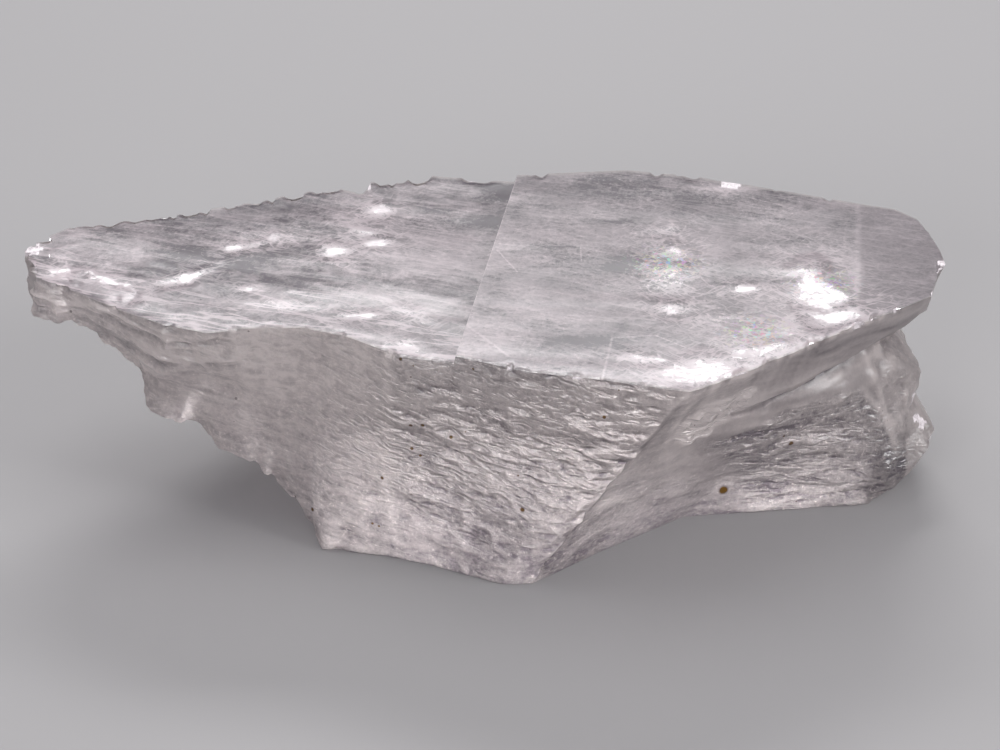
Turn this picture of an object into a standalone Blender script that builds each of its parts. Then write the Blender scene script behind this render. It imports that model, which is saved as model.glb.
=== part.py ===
"""A cleaved blade of clear selenite (gypsum), lying on its flat lower cleavage face.

X runs along the blade from its thin left tip, Y from the front walls to the back ones, and Z up.
The shape is a loft: pairs of front and back corners, each with a point on the upper rim and one
on the foot, joined by walls, a deck across the top and an underside below. Sizes are in
millimetres, and the mesh is made in metres.
"""

import bpy
import numpy as np

NAME = "selenite_crystal"
MM = 0.001

# Driving dimensions, in millimetres.
THICKNESS = 27.0       # from the lower cleavage face to the upper one
STEP = 0.9             # how far the left part of the deck lies below the right part
STEP_RUN = (-0.02, -0.15)      # the step's slope starts and ends this far from its line
LEDGES = (0.9, 0.4)    # height of the large and the small ledges on the broken ends
ETCHING = 0.32         # height of the slanting ridges etched into the crystal faces
STREAKS = 0.25         # height of the streaks along the crystal edge
HOLLOW = 0.7           # depth of the hollow in the wall right of the crystal edge
RIPPLES = 0.15         # height of the ripples on the deck left of the step
UNDERSIDE_LUMPS = 0.5  # height of the lumps under the raised ends
CELL = 1.8             # size of one facet of the mesh along the walls
DECK_ROWS = 9          # facets across the deck, from front to back
WALL_ROWS = 16         # facets down a wall, from rim to foot
BENT_COLUMNS = 4       # columns at each end of a sheet that bend to meet the end wall
MIDDLE = (-1.87, 19.48)        # plan point of the tables below that stands at the origin

# Where each kind of relief starts and is full: x, or the distance right of the crystal edge.
FRONT_BACK = 20.0      # a point with a smaller y is on a front wall
BROKEN_LEFT_FRONT, BROKEN_LEFT_BACK, BROKEN_RIGHT = (-22, -30), (0, -8), (40, 44)
ETCHED_FRONT, ETCHED_BACK = (-20, -8), (4, 10)
NEAR_EDGE, STREAKS_END = (0, 1.5), (16, 10)
THIN_WALL = (2, 14)    # walls lower than this have no relief, or part of it

# Corners come in front and back pairs, from the left tip (0) to the right one (23).
FRONT_RIM = [
    (-50.4, 22.6), (-48.8, 19.9), (-45.4, 17.8), (-41.8, 15.4), (-38.6, 13.5), (-34.2, 11.1),
    (-30.0, 9.8), (-26.5, 10.4), (-20.4, 10.7), (-17.8, 9.9), (-15.2, 8.9), (-10.0, 5.6),
    (-4.6, 4.3), (3.0, 1.6), (9.9, 0.2), (18.6, -1.8), (21.0, -0.5), (24.5, 1.6),
    (30.1, 5.4), (36.4, 9.7), (41.0, 12.6), (44.7, 15.1), (45.7, 18.4), (47.0, 21.2),
]
BACK_RIM = [
    (-51.0, 25.2), (-49.8, 27.0), (-46.8, 29.6), (-41.5, 31.4), (-36.5, 32.2), (-32.4, 33.7),
    (-28.7, 34.7), (-24.4, 36.5), (-18.6, 38.4), (-15.2, 37.2), (-14.4, 39.6), (-7.6, 40.6),
    (1.8, 39.4), (7.8, 40.0), (14.0, 40.5), (21.5, 39.2), (24.2, 38.1), (27.8, 37.2),
    (32.2, 35.8), (39.2, 33.4), (43.1, 32.2), (45.2, 30.2), (46.2, 27.2), (46.8, 23.8),
]
FRONT_FOOT = [
    (-50.2, 21.8, 22.5), (-48.6, 18.2, 22.3), (-45.2, 17.8, 22.2), (-41.4, 17.0, 19.4),
    (-38.0, 15.6, 17.2), (-36.6, 13.8, 14.2), (-31.4, 13.6, 11.2), (-27.4, 12.3, 8.2),
    (-22.8, 10.8, 4.2), (-20.6, 9.4, 2.0), (-19.0, 6.9, 0.0), (-12.0, 5.7, 0.0),
    (-7.0, 4.1, 0.0), (-2.8, 2.3, 0.0), (0.2, 1.1, 0.0), (3.4, 1.1, 0.0), (10.7, 6.4, 0.0),
    (20.0, 12.4, 0.0), (27.5, 13.2, 0.0), (34.5, 14.0, 0.0), (40.0, 14.4, 0.3), (42.6, 14.8, 2.2),
    (45.2, 16.2, 4.0), (46.4, 18.4, 5.2),
]
BACK_FOOT = [
    (-50.2, 25.4, 23.1), (-48.9, 27.0, 22.4), (-46.0, 29.0, 21.4), (-41.0, 30.8, 19.4),
    (-36.4, 31.4, 16.8), (-33.2, 32.4, 14.2), (-29.8, 33.0, 11.6), (-26.4, 34.0, 8.8),
    (-22.0, 34.6, 5.2), (-19.0, 35.2, 2.6), (-16.0, 36.2, 0.0), (-6.0, 37.6, 0.0),
    (2.0, 38.0, 0.0), (8.0, 38.6, 0.0), (14.0, 38.8, 0.0), (21.0, 37.4, 0.0), (24.2, 36.4, 0.0),
    (28.0, 35.4, 0.0), (32.0, 34.4, 0.0), (38.0, 32.2, 0.0), (41.4, 30.6, 0.8), (43.8, 28.8, 2.4),
    (45.8, 26.0, 3.6), (46.8, 22.6, 4.6),
]
CLEFT, EDGE = 12, 15   # front corners at the deck's step and at the crystal edge

# Rings round the right end, from the blade's under edge down to the lobe's widest line. Each starts at
# front corner 17 and ends at back corner 20.
RING_START, RING_END = 17, 20
RINGS = {
    "under edge": [(25.2, 5.4, 19.6), (30.9, 9.0, 20.3), (36.0, 12.8, 21.1), (40.4, 14.3, 22.3),
                   (44.8, 16.8, 24.0), (45.8, 19.8, 24.2), (46.2, 21.6, 24.4), (46.2, 23.8, 24.4),
                   (45.8, 27.0, 24.0), (44.6, 29.8, 23.2), (42.2, 31.6, 22.2)],
    "neck": [(25.6, 7.2, 18.4), (31.3, 11.4, 18.9), (36.2, 15.6, 19.2), (39.6, 18.4, 18.8),
             (41.0, 20.8, 17.4), (42.0, 22.6, 16.6), (42.6, 24.2, 16.4), (42.8, 26.2, 16.4),
             (42.6, 28.0, 16.6), (42.0, 29.8, 17.0), (40.6, 31.6, 17.2)],
    "shoulder": [(25.8, 7.4, 16.8), (31.3, 10.4, 17.0), (36.4, 13.5, 16.5), (39.2, 16.2, 15.4),
                 (43.4, 19.6, 14.9), (45.6, 20.8, 13.4), (45.4, 22.8, 13.2), (44.8, 25.0, 13.2),
                 (44.6, 27.6, 13.4), (43.8, 30.2, 13.6), (41.4, 31.8, 13.6)],
    "waist": [(25.4, 9.4, 11.0), (31.0, 11.4, 11.0), (36.6, 13.2, 11.0), (40.8, 14.8, 10.8),
              (43.2, 17.2, 10.4), (44.6, 19.4, 9.6), (44.9, 21.6, 9.6), (45.0, 24.2, 9.6),
              (44.8, 27.0, 9.6), (43.8, 29.8, 9.4), (41.6, 31.6, 9.4)],
    "nub": [(24.0, 11.4, 6.0), (30.4, 12.6, 6.0), (36.8, 13.4, 6.0), (41.8, 13.7, 5.0),
            (44.6, 15.1, 4.8), (46.6, 16.6, 6.0), (47.4, 18.6, 7.2), (47.0, 22.6, 6.8),
            (46.4, 26.2, 6.4), (44.6, 29.2, 6.0), (41.8, 31.4, 5.6)],
}
WALL_LEVELS = [0.0, 0.24, 0.31, 0.39, 0.6, 0.76, 1.0]  # share of the way down: rim, rings, foot


def lattice(i, j, seed):
    """A fixed number from -1 to 1 for each whole-numbered cell: the fraction of a large sine."""
    n = np.sin(i * 127.1 + j * 311.7 + seed * 74.7) * 43758.5453
    return 2 * (n - np.floor(n)) - 1


def noise(x, y, seed=0):
    """Smooth lumps one unit wide, from -1 to 1: four corner numbers blended by 3t^2 - 2t^3."""
    i, j = np.floor(x), np.floor(y)
    s, t = x - i, y - j
    s, t = s * s * (3 - 2 * s), t * t * (3 - 2 * t)
    low = lattice(i, j, seed) * (1 - s) + lattice(i + 1, j, seed) * s
    high = lattice(i, j + 1, seed) * (1 - s) + lattice(i + 1, j + 1, seed) * s
    return low * (1 - t) + high * t


def ramp(value, start, end):
    """0 before start, 1 after end, straight between."""
    return np.clip((value - start) / (end - start), 0, 1)


def corner_rings():
    """Points by level, side and corner: straight walls from rim to foot, and RINGS at the right."""
    rims = [np.column_stack([rim, np.full(len(rim), THICKNESS)]) for rim in (FRONT_RIM, BACK_RIM)]
    feet = [np.array(foot) for foot in (FRONT_FOOT, BACK_FOOT)]
    share = np.array(WALL_LEVELS)[:, None, None]
    front, back = (rim * (1 - share) + foot * share for rim, foot in zip(rims, feet))
    fronts = front.shape[1] - RING_START
    for level, ring in enumerate(RINGS.values(), start=1):
        front[level, RING_START:] = ring[:fronts]
        back[level, RING_END:] = ring[fronts:][::-1]
    return front, back


def stations():
    """Where the mesh lines cross the blade: a CELL apart, on every corner, and just past the step."""
    rim = np.array(FRONT_RIM)
    lengths = np.linalg.norm(np.diff(rim, axis=0), axis=1)
    places = [
        np.linspace(k, k + 1, max(1, round(length / CELL)), endpoint=False)
        for k, length in enumerate(lengths)
    ]
    just_past_step = CLEFT + 0.03
    return np.sort([*np.concatenate(places), just_past_step, len(rim) - 1])


def along(corners, places):
    """Points at fractional corner numbers, straight between corners. Corners are on axis 1."""
    low = np.minimum(places.astype(int), corners.shape[1] - 2)
    share = (places - low)[None, :, None]
    return corners[:, low] * (1 - share) + corners[:, low + 1] * share


def girdle(places):
    """The closed band of walls: front, right end, back and left end, as rows down by columns round."""
    front, back = (along(side, places) for side in corner_rings())
    for side in (front, back):
        sunk = deck_height(side[0, :, 0], side[0, :, 1]) - THICKNESS
        side[:, :, 2] += sunk * (1 - np.array(WALL_LEVELS)[:, None])
    across = (np.arange(1, DECK_ROWS) / DECK_ROWS)[None, :, None]
    right = front[:, -1:] * (1 - across) + back[:, -1:] * across
    left = back[:, :1] * (1 - across) + front[:, :1] * across
    band = np.concatenate([front, right, back[:, ::-1], left], axis=1)
    rows = np.linspace(0, 1, WALL_ROWS + 1)
    level = np.interp(rows, WALL_LEVELS, np.arange(len(WALL_LEVELS)))
    return along(band.transpose(1, 0, 2), level).transpose(1, 0, 2)


def outward(band):
    """Unit normals of a closed band of walls, from the differences of its neighbours."""
    round_it = np.roll(band, -1, axis=1) - np.roll(band, 1, axis=1)
    down = np.gradient(band, axis=0)
    normal = np.cross(down, round_it)
    return normal / np.linalg.norm(normal, axis=2, keepdims=True)


def wall_relief(band):
    """How far each wall point stands out of its flat wall.

    Broken ends get lumps and ledges, the crystal faces get slanting etched ridges, and the face
    right of the front edge is slightly hollow, with streaks along that edge. Each noise takes the
    point's place over its lumps' length and height in millimetres.
    """
    x, y, z = np.moveaxis(band, 2, 0)
    front = y < FRONT_BACK
    left_end = np.where(front, ramp(x, *BROKEN_LEFT_FRONT), ramp(x, *BROKEN_LEFT_BACK))
    right_end = ramp(x, *BROKEN_RIGHT)
    foot_x, rim_x = FRONT_FOOT[EDGE][0], FRONT_RIM[EDGE][0]
    past_edge = x - foot_x - (rim_x - foot_x) * z / THICKNESS
    near_edge = np.where(front, ramp(np.abs(past_edge), *NEAR_EDGE), 1)
    faces = np.where(front, ramp(x, *ETCHED_FRONT), ramp(x, *ETCHED_BACK))
    faces = faces * (1 - right_end) * near_edge
    beside_edge = front * ramp(past_edge, *NEAR_EDGE) * ramp(past_edge, *STREAKS_END)
    large, small = LEDGES
    ledges = large * noise(x / 5.5, z / 3.4 + x / 9, 1) + small * noise(x / 2.6, z / 1.9, 2)
    etched = ETCHING * noise(x / 6, (z + 0.25 * x) / 2.3, 3)
    hollow = HOLLOW * np.sin(np.pi * ramp(z, 0, THICKNESS))
    streaks = STREAKS * noise(past_edge / 2.2, z / 14, 5) - hollow
    relief = (left_end + 0.35 * right_end) * ledges + faces * (1 - beside_edge) * etched
    return relief + beside_edge * streaks


def deck_height(x, y):
    """Height of the deck over a plan point: level at right, a step down to the rippled left part."""
    (front_x, front_y), (back_x, back_y) = FRONT_RIM[CLEFT], BACK_RIM[CLEFT]
    past_step = x - front_x - (y - front_y) * (back_x - front_x) / (back_y - front_y)
    left = ramp(past_step, *STEP_RUN)
    ripples = RIPPLES * noise((x + 2 * y) / 14, (y - 0.3 * x) / 6, 4)
    return THICKNESS - left * STEP + left * ripples * ramp(past_step, 0, -4)


def sheet(band_row, count, rows):
    """Fills a closed row of the band with lines from front to back, bent to meet the end walls."""
    front = band_row[:count]
    right = band_row[count - 1:count + rows]
    back = band_row[count + rows - 1:2 * count + rows - 1][::-1]
    left = np.concatenate([band_row[2 * count + rows - 2:], band_row[:1]])[::-1]
    across = (np.arange(rows + 1) / rows)[:, None, None]
    filled = front[None] * (1 - across) + back[None] * across
    near_left = np.clip(1 - np.arange(count) / BENT_COLUMNS, 0, 1)[None, :, None]
    near_right = near_left[:, ::-1]
    off_left, off_right = left[:, None] - filled[:, :1], right[:, None] - filled[:, -1:]
    return filled + near_left * off_left + near_right * off_right


def crystal():
    """Points of the walls, deck and underside. The last two repeat the walls' first and last rows."""
    places = stations()
    band = girdle(places)
    count, rows = len(places), DECK_ROWS
    thin = ramp(band[0, :, 2] - band[-1, :, 2], *THIN_WALL)
    rim = np.linspace(0.3, 3, WALL_ROWS + 1)[:, None].clip(0, 1)
    relief = wall_relief(band) * ramp(band[..., 2], 0, 2) * thin * rim
    band = band + outward(band) * relief[..., None]
    band[0, :, 2] = deck_height(band[0, :, 0], band[0, :, 1])
    band[-1, :, 2] = np.maximum(band[-1, :, 2], 0)
    deck = sheet(band[0], count, rows)
    deck[..., 2] = deck_height(deck[..., 0], deck[..., 1])
    under = sheet(band[-1], count, rows)
    x, y, z = np.moveaxis(under, 2, 0)
    under[..., 2] += UNDERSIDE_LUMPS * noise(x / 4, y / 7, 6) * ramp(z, 1, 6)
    return band, deck, under


def mesh_faces(levels, columns, count, rows):
    """Quads of the band, the deck and the underside, which share the band's first and last rows."""
    ring = np.arange(levels * columns).reshape(levels, columns)
    turned = np.roll(ring, -1, axis=1)
    walls = np.stack([ring[:-1], ring[1:], turned[1:], turned[:-1]], axis=-1).reshape(-1, 4)
    inner = (rows - 1) * (count - 2)
    faces = [walls]
    upper, lower = levels * columns, levels * columns + inner
    for edge, first, turn in ((ring[0], upper, 1), (ring[-1], lower, -1)):
        grid = np.empty((rows + 1, count), int)
        grid[0] = edge[:count]
        grid[:, -1] = edge[count - 1:count + rows]
        grid[-1] = edge[count + rows - 1:2 * count + rows - 1][::-1]
        grid[:, 0] = np.append(edge[2 * count + rows - 2:], edge[0])[::-1]
        grid[1:-1, 1:-1] = first + np.arange(inner).reshape(rows - 1, count - 2)
        quads = np.stack([grid[:-1, :-1], grid[:-1, 1:], grid[1:, 1:], grid[1:, :-1]], axis=-1)
        faces.append(quads.reshape(-1, 4)[:, ::turn])
    return np.concatenate(faces)


def clear_scene():
    for obj in list(bpy.data.objects):
        bpy.data.objects.remove(obj)


def selenite():
    """Clear to milky gypsum."""
    material = bpy.data.materials.new("selenite")
    material.use_nodes = True
    shader = material.node_tree.nodes["Principled BSDF"]
    shader.inputs["Base Color"].default_value = (0.80, 0.78, 0.79, 1)
    shader.inputs["Roughness"].default_value = 0.25
    shader.inputs["Metallic"].default_value = 0
    shader.inputs["Transmission Weight"].default_value = 0.85
    shader.inputs["IOR"].default_value = 1.52
    return material


def main():
    clear_scene()
    band, deck, under = crystal()
    parts = (band, deck[1:-1, 1:-1], under[1:-1, 1:-1])
    points = np.concatenate([part.reshape(-1, 3) for part in parts])
    points[:, :2] -= MIDDLE
    faces = mesh_faces(band.shape[0], band.shape[1], deck.shape[1], DECK_ROWS)
    mesh = bpy.data.meshes.new(NAME)
    mesh.from_pydata((points * MM).tolist(), [], faces.tolist())
    mesh.materials.append(selenite())
    crystal_object = bpy.data.objects.new(NAME, mesh)
    collection = bpy.data.collections.new(NAME)
    bpy.context.scene.collection.children.link(collection)
    collection.objects.link(crystal_object)


main()
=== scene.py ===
"""Selenite crystal blade: the fine surface of one cleaved piece of clear to milky gypsum, on a pale table.

The crystal is one closed skin: a band of walls round it, a deck across the top and an underside, each a
grid worked out with numpy. Shape sizes and the camera's place are given in millimetres, and the scene is in
metres.
"""

from types import SimpleNamespace

import bpy
import numpy as np
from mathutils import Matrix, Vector


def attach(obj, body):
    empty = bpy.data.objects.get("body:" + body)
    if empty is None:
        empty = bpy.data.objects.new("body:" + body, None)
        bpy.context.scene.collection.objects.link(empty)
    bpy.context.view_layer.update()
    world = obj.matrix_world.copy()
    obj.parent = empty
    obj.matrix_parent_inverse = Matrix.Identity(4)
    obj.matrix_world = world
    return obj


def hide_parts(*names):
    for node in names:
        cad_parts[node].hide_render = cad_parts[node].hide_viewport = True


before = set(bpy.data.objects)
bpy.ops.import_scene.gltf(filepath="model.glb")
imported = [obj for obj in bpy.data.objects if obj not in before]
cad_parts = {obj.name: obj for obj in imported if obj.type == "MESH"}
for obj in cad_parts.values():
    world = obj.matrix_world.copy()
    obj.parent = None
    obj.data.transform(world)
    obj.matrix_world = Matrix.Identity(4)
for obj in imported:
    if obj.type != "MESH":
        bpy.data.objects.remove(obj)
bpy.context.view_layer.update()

NODE = "selenite_crystal"
MM = 0.001             # metres
METRE = 1000           # millimetres

# Driving dimensions, in millimetres.
THICKNESS = 27.0       # from the lower cleavage face to the upper one
STEP = 0.9             # how far the left part of the deck lies below the right part
STEP_RUN = (-0.12, -0.02)      # how far left of its line the step's slope starts and ends: just right of it
LUMPS = (0.9, 0.4)     # height of the large and the small ledges on the broken ends
ETCHING = 0.32         # height of the slanting ridges etched into the crystal faces
STREAKS = 0.25         # height of the streaks along the crystal edge
HOLLOW = 0.7           # depth of the hollow in the wall right of the crystal edge
RIPPLES = 0.15         # height of the ripples on the deck left of the step
UNDERSIDE_LUMPS = 0.5  # height of the lumps under the raised ends
TIPPED = 0.083         # slope of a flake of the deck, towards the front
CHIPS, TEETH, RIGHT_TEETH = 0.4, 1.1, 0.6      # depth of the rim's chips and of its two rows of teeth
CELL = 0.40            # spacing of the mesh along the walls
PAST_STEP = 0.02       # share of the way to the next corner where a mesh line runs, past the step's slope
DECK_ROWS = 60         # mesh rows across the deck, from front to back
WALL_ROWS = 92         # mesh rows down a wall, from rim to foot
BENT_COLUMNS = 9       # columns at each end of a sheet that bend to meet the end wall
SHARP_ANGLE = 38       # degrees between faces, past which an edge looks sharp
MIDDLE = (-1.87, 19.48)        # plan point of the tables below that stands at the origin

# Where each kind of relief starts and is full: x, or the distance right of the crystal edge.
BROKEN_LEFT_FRONT, BROKEN_LEFT_BACK, BROKEN_RIGHT = (-22, -30), (0, -8), (40, 44)
ETCHED_FRONT, ETCHED_BACK = (-20, -8), (4, 10)
NEAR_EDGE, STREAKS_END = (0, 1.5), (16, 10)
FAN_WIDTH = 15.0       # this far right of the crystal edge its streaks lie level
THIN_WALL = (2, 14)    # walls lower than this have no relief, or part of it
# How far back, in y, the front walls reach, those of the tip at left, and the ragged front rim at right.
FRONT_BACK, TIP_BACK, RAGGED_BACK = 20.0, 22.0, 16.0
BACK_WALL = 27.0       # the etched back wall lies behind this

# Corners come in front and back pairs, from the left tip (0) to the right one (23).
FRONT_RIM = [
    (-50.4, 22.6), (-48.8, 19.9), (-45.4, 17.8), (-41.8, 15.4), (-38.6, 13.5), (-34.2, 11.1),
    (-30.0, 9.8), (-26.5, 10.4), (-20.4, 10.7), (-17.8, 9.9), (-15.2, 8.9), (-10.0, 5.6),
    (-4.6, 4.3), (3.0, 1.6), (9.9, 0.2), (18.6, -1.8), (21.0, -0.5), (24.5, 1.6),
    (30.1, 5.4), (36.4, 9.7), (41.0, 12.6), (44.7, 15.1), (45.7, 18.4), (47.0, 21.2),
]
BACK_RIM = [
    (-51.0, 25.2), (-49.8, 27.0), (-46.8, 29.6), (-41.5, 31.4), (-36.5, 32.2), (-32.4, 33.7),
    (-28.7, 34.7), (-24.4, 36.5), (-18.6, 38.4), (-15.2, 37.2), (-14.4, 39.6), (-7.6, 40.6),
    (1.8, 39.4), (7.8, 40.0), (14.0, 40.5), (21.5, 39.2), (24.2, 38.1), (27.8, 37.2),
    (32.2, 35.8), (39.2, 33.4), (43.1, 32.2), (45.2, 30.2), (46.2, 27.2), (46.8, 23.8),
]
FRONT_FOOT = [
    (-50.2, 21.8, 22.5), (-48.6, 18.2, 22.3), (-45.2, 17.8, 22.2), (-41.4, 17.0, 19.4),
    (-38.0, 15.6, 17.2), (-36.6, 13.8, 14.2), (-31.4, 13.6, 11.2), (-27.4, 12.3, 8.2),
    (-22.8, 10.8, 4.2), (-20.6, 9.4, 2.0), (-19.0, 6.9, 0.0), (-12.0, 5.7, 0.0),
    (-7.0, 4.1, 0.0), (-2.8, 2.3, 0.0), (0.2, 1.1, 0.0), (3.4, 1.1, 0.0), (10.7, 6.4, 0.0),
    (20.0, 12.4, 0.0), (27.5, 13.2, 0.0), (34.5, 14.0, 0.0), (40.0, 14.4, 0.3), (42.6, 14.8, 2.2),
    (45.2, 16.2, 4.0), (46.4, 18.4, 5.2),
]
BACK_FOOT = [
    (-50.2, 25.4, 23.1), (-48.9, 27.0, 22.4), (-46.0, 29.0, 21.4), (-41.0, 30.8, 19.4),
    (-36.4, 31.4, 16.8), (-33.2, 32.4, 14.2), (-29.8, 33.0, 11.6), (-26.4, 34.0, 8.8),
    (-22.0, 34.6, 5.2), (-19.0, 35.2, 2.6), (-16.0, 36.2, 0.0), (-6.0, 37.6, 0.0),
    (2.0, 38.0, 0.0), (8.0, 38.6, 0.0), (14.0, 38.8, 0.0), (21.0, 37.4, 0.0), (24.2, 36.4, 0.0),
    (28.0, 35.4, 0.0), (32.0, 34.4, 0.0), (38.0, 32.2, 0.0), (41.4, 30.6, 0.8), (43.8, 28.8, 2.4),
    (45.8, 26.0, 3.6), (46.8, 22.6, 4.6),
]
# Corners of the deck's step, of the crystal edge and of the frosted end's line.
CLEFT, EDGE, END_LINE = 12, 15, 19
END_SLANT = 0.12       # how far right that line runs for each millimetre back

# Rings round the right end, from the blade's under edge down to the lobe's widest line. Each starts at
# front corner 17 and ends at back corner 20.
RING_START, RING_END = 17, 20
RINGS = {
    "under edge": [(25.2, 5.4, 19.6), (30.9, 9.0, 20.3), (36.0, 12.8, 21.1), (40.4, 14.3, 22.3),
                   (44.8, 16.8, 24.0), (45.8, 19.8, 24.2), (46.2, 21.6, 24.4), (46.2, 23.8, 24.4),
                   (45.8, 27.0, 24.0), (44.6, 29.8, 23.2), (42.2, 31.6, 22.2)],
    "neck": [(25.6, 7.2, 18.4), (31.3, 11.4, 18.9), (36.2, 15.6, 19.2), (39.6, 18.4, 18.8),
             (41.0, 20.8, 17.4), (42.0, 22.6, 16.6), (42.6, 24.2, 16.4), (42.8, 26.2, 16.4),
             (42.6, 28.0, 16.6), (42.0, 29.8, 17.0), (40.6, 31.6, 17.2)],
    "shoulder": [(25.8, 7.4, 16.8), (31.3, 10.4, 17.0), (36.4, 13.5, 16.5), (39.2, 16.2, 15.4),
                 (43.4, 19.6, 14.9), (45.6, 20.8, 13.4), (45.4, 22.8, 13.2), (44.8, 25.0, 13.2),
                 (44.6, 27.6, 13.4), (43.8, 30.2, 13.6), (41.4, 31.8, 13.6)],
    "waist": [(25.4, 9.4, 11.0), (31.0, 11.4, 11.0), (36.6, 13.2, 11.0), (40.8, 14.8, 10.8),
              (43.2, 17.2, 10.4), (44.6, 19.4, 9.6), (44.9, 21.6, 9.6), (45.0, 24.2, 9.6),
              (44.8, 27.0, 9.6), (43.8, 29.8, 9.4), (41.6, 31.6, 9.4)],
    "nub": [(24.0, 11.4, 6.0), (30.4, 12.6, 6.0), (36.8, 13.4, 6.0), (41.8, 13.7, 5.0),
            (44.6, 15.1, 4.8), (46.6, 16.6, 6.0), (47.4, 18.6, 7.2), (47.0, 22.6, 6.8),
            (46.4, 26.2, 6.4), (44.6, 29.2, 6.0), (41.8, 31.4, 5.6)],
}
WALL_LEVELS = [0.0, 0.24, 0.31, 0.39, 0.6, 0.76, 1.0]     # share of the way down: rim, rings, foot

# Flakes of the deck that are tipped to the light, each also painted white in its middle with a glow round
# it, as painted highlights: x, y, half length, half width, degrees turned, amount.
FLASHES = [
    (-32.9, 20.2, 3.0, 1.0, 37, 1.0), (-27.5, 26.0, 2.2, 1.0, 20, 0.9), (-24.2, 27.4, 1.6, 1.0, 25, 0.8),
    (-17.3, 25.0, 1.4, 1.4, 0, 1.0), (-17.8, 22.7, 1.3, 0.5, -10, 0.9), (-13.6, 33.6, 1.5, 1.8, 0, 1.0),
    (-14.7, 28.6, 1.7, 1.2, -20, 1.0), (-13.1, 26.6, 1.4, 1.1, -30, 1.0), (-15.2, 12.8, 2.2, 0.9, -3, 1.0),
    (-46.4, 21.6, 0.9, 0.8, 0, 1.0), (-41.2, 19.2, 4.2, 0.6, -36, 1.0), (-8.6, 12.6, 2.6, 0.9, -40, 0.6),
    (-9.5, 7.6, 2.4, 0.8, -30, 0.6), (-27.2, 17.8, 1.2, 0.6, -15, 0.7), (-22.8, 14.6, 3.2, 0.8, -12, 0.5),
    (17.7, 28.0, 2.2, 1.1, 10, 0.6), (18.7, 23.2, 1.7, 1.8, 0, 0.8), (25.5, 16.3, 2.2, 0.9, -5, 1.0),
    (18.0, 12.8, 1.7, 1.8, 0, 0.7), (17.6, 18.2, 3.0, 3.2, 0, 0.5), (33.2, 15.6, 2.5, 5.2, 8, 0.95),
    (33.8, 11.2, 3.6, 1.7, 18, 1.0), (14.7, 3.6, 3.2, 0.8, -12, 0.9), (20.2, 1.6, 3.8, 2.4, 12, 1.0),
    (25.0, 5.0, 4.6, 1.5, 30, 0.75), (29.4, 8.6, 3.2, 1.0, 25, 0.7), (23.0, 11.0, 3.2, 1.2, 0, 0.45),
]
# Where the deck is clearer (below 0) or milkier than the rest: x, y, half length, half width, amount.
PATCHES = [
    (6.5, 6.0, 9.0, 4.5, -0.22), (2.5, 15.0, 5.0, 9.0, 0.10), (17.0, 19.0, 7.0, 5.0, -0.10),
    (27.0, 12.0, 7.0, 5.0, -0.12), (-28.0, 23.0, 9.0, 5.0, -0.12), (-43.0, 22.5, 6.0, 3.5, 0.10),
    (-10.0, 22.0, 8.0, 8.0, 0.05), (16.0, 36.0, 22.0, 5.0, -0.10), (26.0, 36.6, 3.0, 0.8, 0.55),
    (-1.0, 6.0, 3.6, 3.8, 0.22), (17.0, 2.6, 6.0, 3.0, 0.10), (-17.0, 15.0, 12.0, 2.0, 0.12),
    (-24.5, 24.5, 3.4, 1.3, -0.30), (-33.5, 24.5, 2.0, 1.0, -0.20), (13.8, 22.2, 1.8, 1.0, -0.35),
    (12.6, 20.4, 1.6, 1.0, -0.35), (12.0, 29.6, 5.0, 0.7, -0.30), (6.0, 24.6, 2.0, 0.8, -0.30),
]
FULL_PATCH = 0.18      # an amount as strong as the thickest cloud
# Spots knocked white: place and radius.
KNOCKS = [
    (-50.2, 25.6, 26.4, 1.7), (46.9, 21.4, 26.6, 1.0), (25.8, 37.9, 26.8, 1.9), (46.6, 17.6, 9.0, 2.2),
    (45.9, 19.5, 10.4, 1.6), (-14.8, 38.4, 26.2, 0.7), (44.9, 15.5, 26.9, 0.6),
]
# White hairlines on the deck: plan points of the two ends, and half the width. The first runs along the
# step, a painted highlight on its edge.
STROKES = [
    ((1.8, 38.8), (-3.4, 10.4), 0.16), ((11.3, 7.3), (10.1, 0.3), 0.20), ((11.7, 4.0), (21.1, 3.1), 0.16),
    ((11.3, 7.5), (15.7, 8.0), 0.12), ((15.7, 8.0), (21.2, 4.0), 0.14), ((-3.6, 10.4), (-4.6, 4.4), 0.22),
    ((-3.5, 10.0), (0.8, 4.4), 0.22), ((-0.3, 24.0), (1.8, 19.8), 0.14), ((8.6, 24.6), (8.6, 21.8), 0.10),
    ((23.8, 36.4), (33.6, 31.6), 0.10), ((-32.2, 24.6), (-27.6, 21.7), 0.20),
    ((-32.4, 15.3), (-27.5, 14.0), 0.14), ((-25.2, 16.9), (-20.4, 15.0), 0.16),
]
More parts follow.
